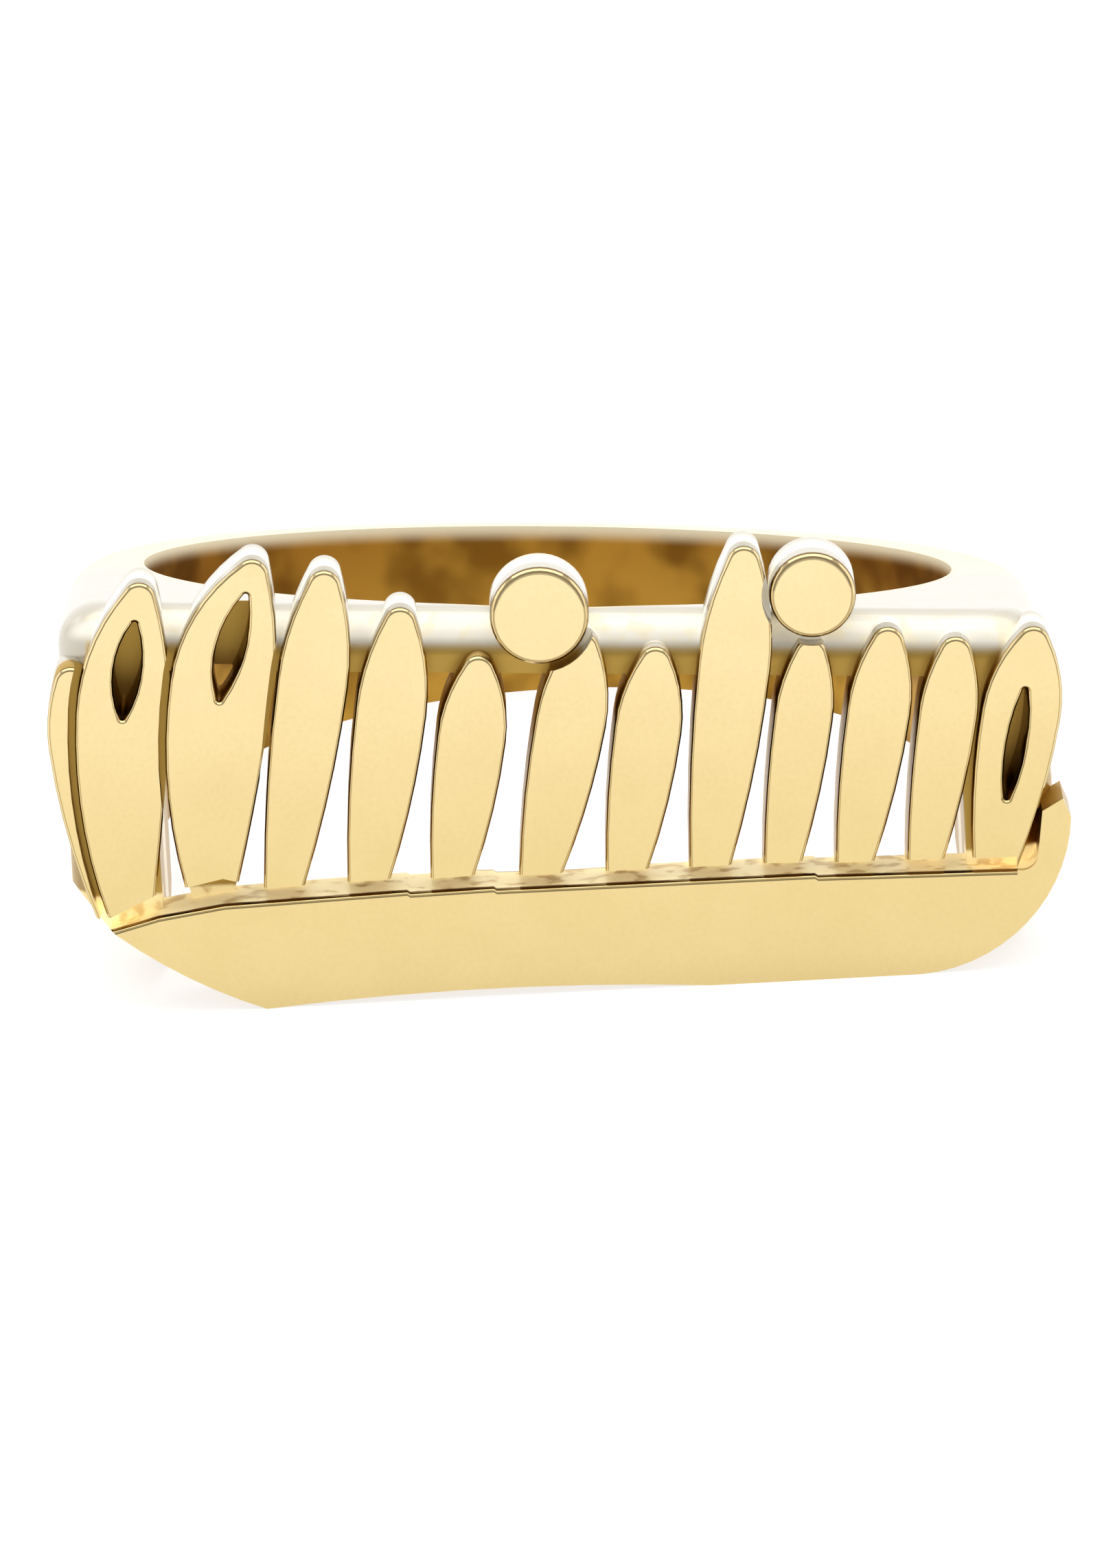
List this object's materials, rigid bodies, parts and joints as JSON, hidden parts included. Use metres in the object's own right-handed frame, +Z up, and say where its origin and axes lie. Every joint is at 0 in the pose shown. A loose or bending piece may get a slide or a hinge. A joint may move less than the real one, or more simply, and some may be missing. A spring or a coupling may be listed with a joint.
{
  "type": "pierced leaf ring",
  "caption": "Wide-fronted finger ring cast in yellow gold: a pierced row of slanting leaves on a smooth bar, closing a band that tapers to the back.",
  "frame": {"origin": "centre of the bounding box, on the surface that the ring lies on", "axes": "+Z up from that surface, -Y out of the plate's front, +X to the right of someone who faces the plate"},
  "size_m": [0.0212, 0.0208, 0.0095],
  "materials": {
    "gold": "polished"
  },
  "bodies": {
    "root": {"leaf_ring": "gold"}
  },
  "joints": []
}
